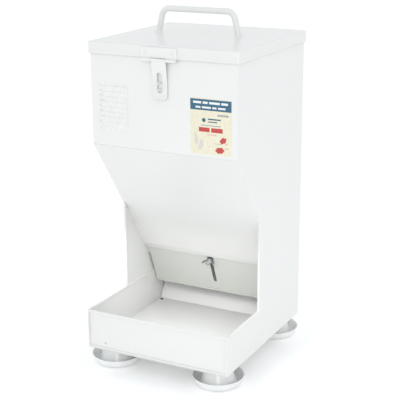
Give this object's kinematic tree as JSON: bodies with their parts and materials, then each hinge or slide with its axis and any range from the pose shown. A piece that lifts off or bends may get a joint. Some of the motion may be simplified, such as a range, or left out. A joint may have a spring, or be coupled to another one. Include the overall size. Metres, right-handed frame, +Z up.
{
  "type": "gravity pet feeder",
  "caption": "Gravity feeder in folded sheet steel: lidded hopper over a sliding feed gate and open tray, with a carry handle, hasp and water-moat feet.",
  "frame": {"origin": "on the floor, in the middle of the overall footprint", "axes": "+Z up; -Y towards the side the animal eats from; +X to the right seen from that side"},
  "size_m": [0.2366, 0.2642, 0.4998],
  "materials": {
    "white_enamel": "gloss",
    "zinc_plate": "zinc plated",
    "white_moulding": "gloss",
    "label_paper": "satin sticker",
    "label_film": "gloss sticker"
  },
  "bodies": {
    "feeder_body": {"left_side_panel": "white_enamel", "right_side_panel": "white_enamel", "front_panel": "white_enamel", "slope_panel": "white_enamel", "back_panel": "white_enamel", "floor_panel": "white_enamel", "ramp_panel": "white_enamel", "left_tray_liner": "white_enamel", "right_tray_liner": "white_enamel", "tray_front_wall": "white_enamel", "gate_cross_bar": "white_enamel", "gate_bolt": "zinc_plate", "gate_washer": "zinc_plate", "hinge_body_leaf": "zinc_plate", "hinge_pin": "zinc_plate", "hinge_body_rivets": "zinc_plate", "padlock_staple": "white_enamel", "moat_foot_front_left": "white_moulding", "moat_foot_front_right": "white_moulding", "moat_foot_rear_left": "white_moulding", "moat_foot_rear_right": "white_moulding", "foot_bolts": "zinc_plate", "foot_washers": "zinc_plate", "foot_nuts": "zinc_plate", "data_label": "label_paper", "product_label": "label_film"},
    "lid": {"lid_shell": "white_enamel", "hinge_lid_leaf": "zinc_plate", "hinge_lid_rivets": "zinc_plate", "carry_handle": "white_enamel", "handle_screws": "zinc_plate", "hasp_plate": "white_enamel", "hasp_pin": "zinc_plate", "hasp_rivets": "white_enamel"},
    "hasp": {"hasp_strap": "white_enamel"},
    "gate": {"gate_plate": "white_enamel"},
    "wing_nut": {"wing_nut": "zinc_plate"}
  },
  "joints": [
    {"name": "lid_hinge", "type": "hinge", "parent": "feeder_body", "child": "lid", "pos_m": [0, 0.1291, 0.442], "axis": [-1, 0, 0], "range_deg": [0, 110]},
    {"name": "hasp_swing", "type": "hinge", "parent": "lid", "child": "hasp", "pos_m": [-0.002, -0.1018, 0.4433], "axis": [-1, 0, 0], "range_deg": [0, 150]},
    {"name": "gate_slide", "type": "slide", "parent": "feeder_body", "child": "gate", "axis": [0, -0.3795, 0.9252], "range_m": [0, 0.04]},
    {"name": "wing_nut_turn", "type": "hinge", "parent": "feeder_body", "child": "wing_nut", "pos_m": [0, 0.0425, 0.123], "axis": [0, -0.9252, -0.3795], "continuous": true}
  ]
}
